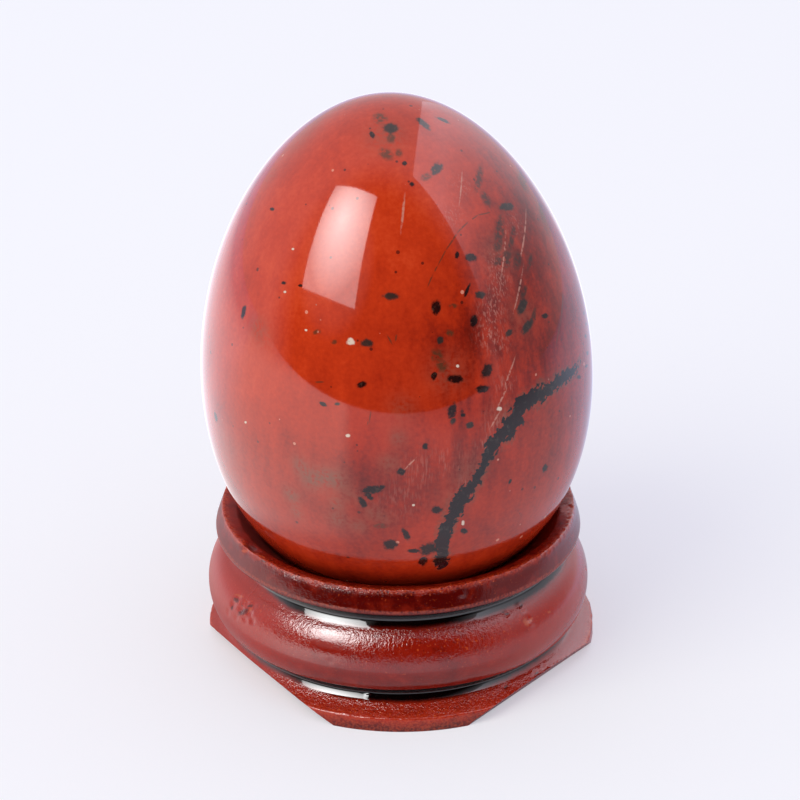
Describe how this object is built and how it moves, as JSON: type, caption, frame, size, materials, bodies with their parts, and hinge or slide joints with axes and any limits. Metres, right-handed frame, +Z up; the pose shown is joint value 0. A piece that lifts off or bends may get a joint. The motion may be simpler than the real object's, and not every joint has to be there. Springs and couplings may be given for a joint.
{
  "type": "decorative egg on stand",
  "caption": "Polished solid stone egg standing loose, pointed end up, in a turned and lacquered hardwood ring stand with a dished seat and a flat-sided foot.",
  "frame": {"origin": "on the table, at the centre of the stand's flat underside", "axes": "+Z up through the egg; the pictured front faces -Y, +X to its right"},
  "size_m": [0.0392, 0.0392, 0.057],
  "materials": {
    "polished_jasper": "mirror polished, dark veins and spots",
    "lacquered_hardwood": "stained red, thick gloss lacquer with orange peel"
  },
  "bodies": {
    "stand": {"stand": "lacquered_hardwood"},
    "egg": {"egg": "polished_jasper"}
  },
  "joints": [
    {"name": "egg_lift", "type": "slide", "parent": "stand", "child": "egg", "axis": [0, 0, 1], "range_m": [0, 0.015]}
  ]
}
